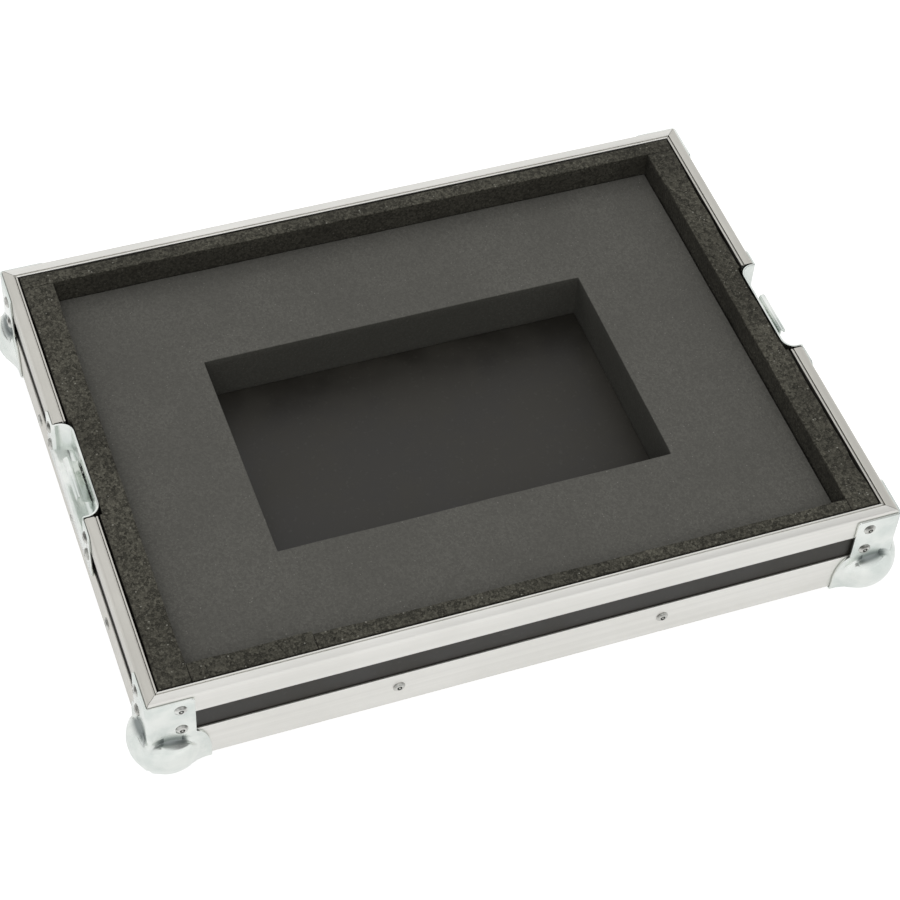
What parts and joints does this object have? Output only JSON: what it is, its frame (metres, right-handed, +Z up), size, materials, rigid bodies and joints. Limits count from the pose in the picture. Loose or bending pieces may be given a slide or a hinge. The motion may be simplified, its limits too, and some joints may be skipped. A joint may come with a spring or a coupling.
{
  "type": "flight case base",
  "caption": "Shallow open flight case tray with aluminium edges, ball corners, keeper dishes and a foam lining with a cable well.",
  "frame": {"origin": "on the ground under the middle of the case, which stands on its four ball corners", "axes": "+X along the long sides, towards the right short side; +Y towards the back; +Z up"},
  "size_m": [0.5164, 0.3934, 0.0778],
  "materials": {
    "aluminium": "brushed natural aluminium",
    "zinc": "bright zinc plated pressed steel",
    "rivet": "satin steel",
    "laminate": "plywood faced with matt black laminate",
    "strip_foam": "coarse charcoal polyethylene foam",
    "insert_foam": "fine dark grey polyethylene foam"
  },
  "bodies": {
    "root": {"back_angle_rivet_1": "rivet", "back_angle_rivet_2": "rivet", "back_edge_angle": "aluminium", "back_panel": "laminate", "back_rim_profile": "aluminium", "back_underside_rivet_1": "rivet", "back_underside_rivet_2": "rivet", "back_underside_rivet_3": "rivet", "ball_corner_back_left": "zinc", "ball_corner_back_right": "zinc", "ball_corner_front_left": "zinc", "ball_corner_front_right": "zinc", "floor_panel": "laminate", "foam_insert": "insert_foam", "foam_strip_back": "strip_foam", "foam_strip_front_long": "strip_foam", "foam_strip_front_short": "strip_foam", "foam_strip_left": "strip_foam", "foam_strip_right": "strip_foam", "front_angle_rivet_1": "rivet", "front_angle_rivet_2": "rivet", "front_edge_angle": "aluminium", "front_panel": "laminate", "front_rim_profile": "aluminium", "front_underside_rivet_1": "rivet", "front_underside_rivet_2": "rivet", "front_underside_rivet_3": "rivet", "left_angle_rivet_1": "rivet", "left_angle_rivet_2": "rivet", "left_angle_rivet_3": "rivet", "left_dish_rivet_1": "rivet", "left_dish_rivet_2": "rivet", "left_dish_rivet_3": "rivet", "left_dish_rivet_4": "rivet", "left_edge_angle": "aluminium", "left_keeper_dish": "zinc", "left_keeper_strike": "zinc", "left_panel": "laminate", "left_rim_profile_back": "aluminium", "left_rim_profile_front": "aluminium", "left_underside_rivet_1": "rivet", "left_underside_rivet_2": "rivet", "right_angle_rivet_1": "rivet", "right_angle_rivet_2": "rivet", "right_angle_rivet_3": "rivet", "right_dish_rivet_1": "rivet", "right_dish_rivet_2": "rivet", "right_dish_rivet_3": "rivet", "right_dish_rivet_4": "rivet", "right_edge_angle": "aluminium", "right_keeper_dish": "zinc", "right_keeper_strike": "zinc", "right_panel": "laminate", "right_rim_profile_back": "aluminium", "right_rim_profile_front": "aluminium", "right_underside_rivet_1": "rivet", "right_underside_rivet_2": "rivet"}
  },
  "joints": []
}
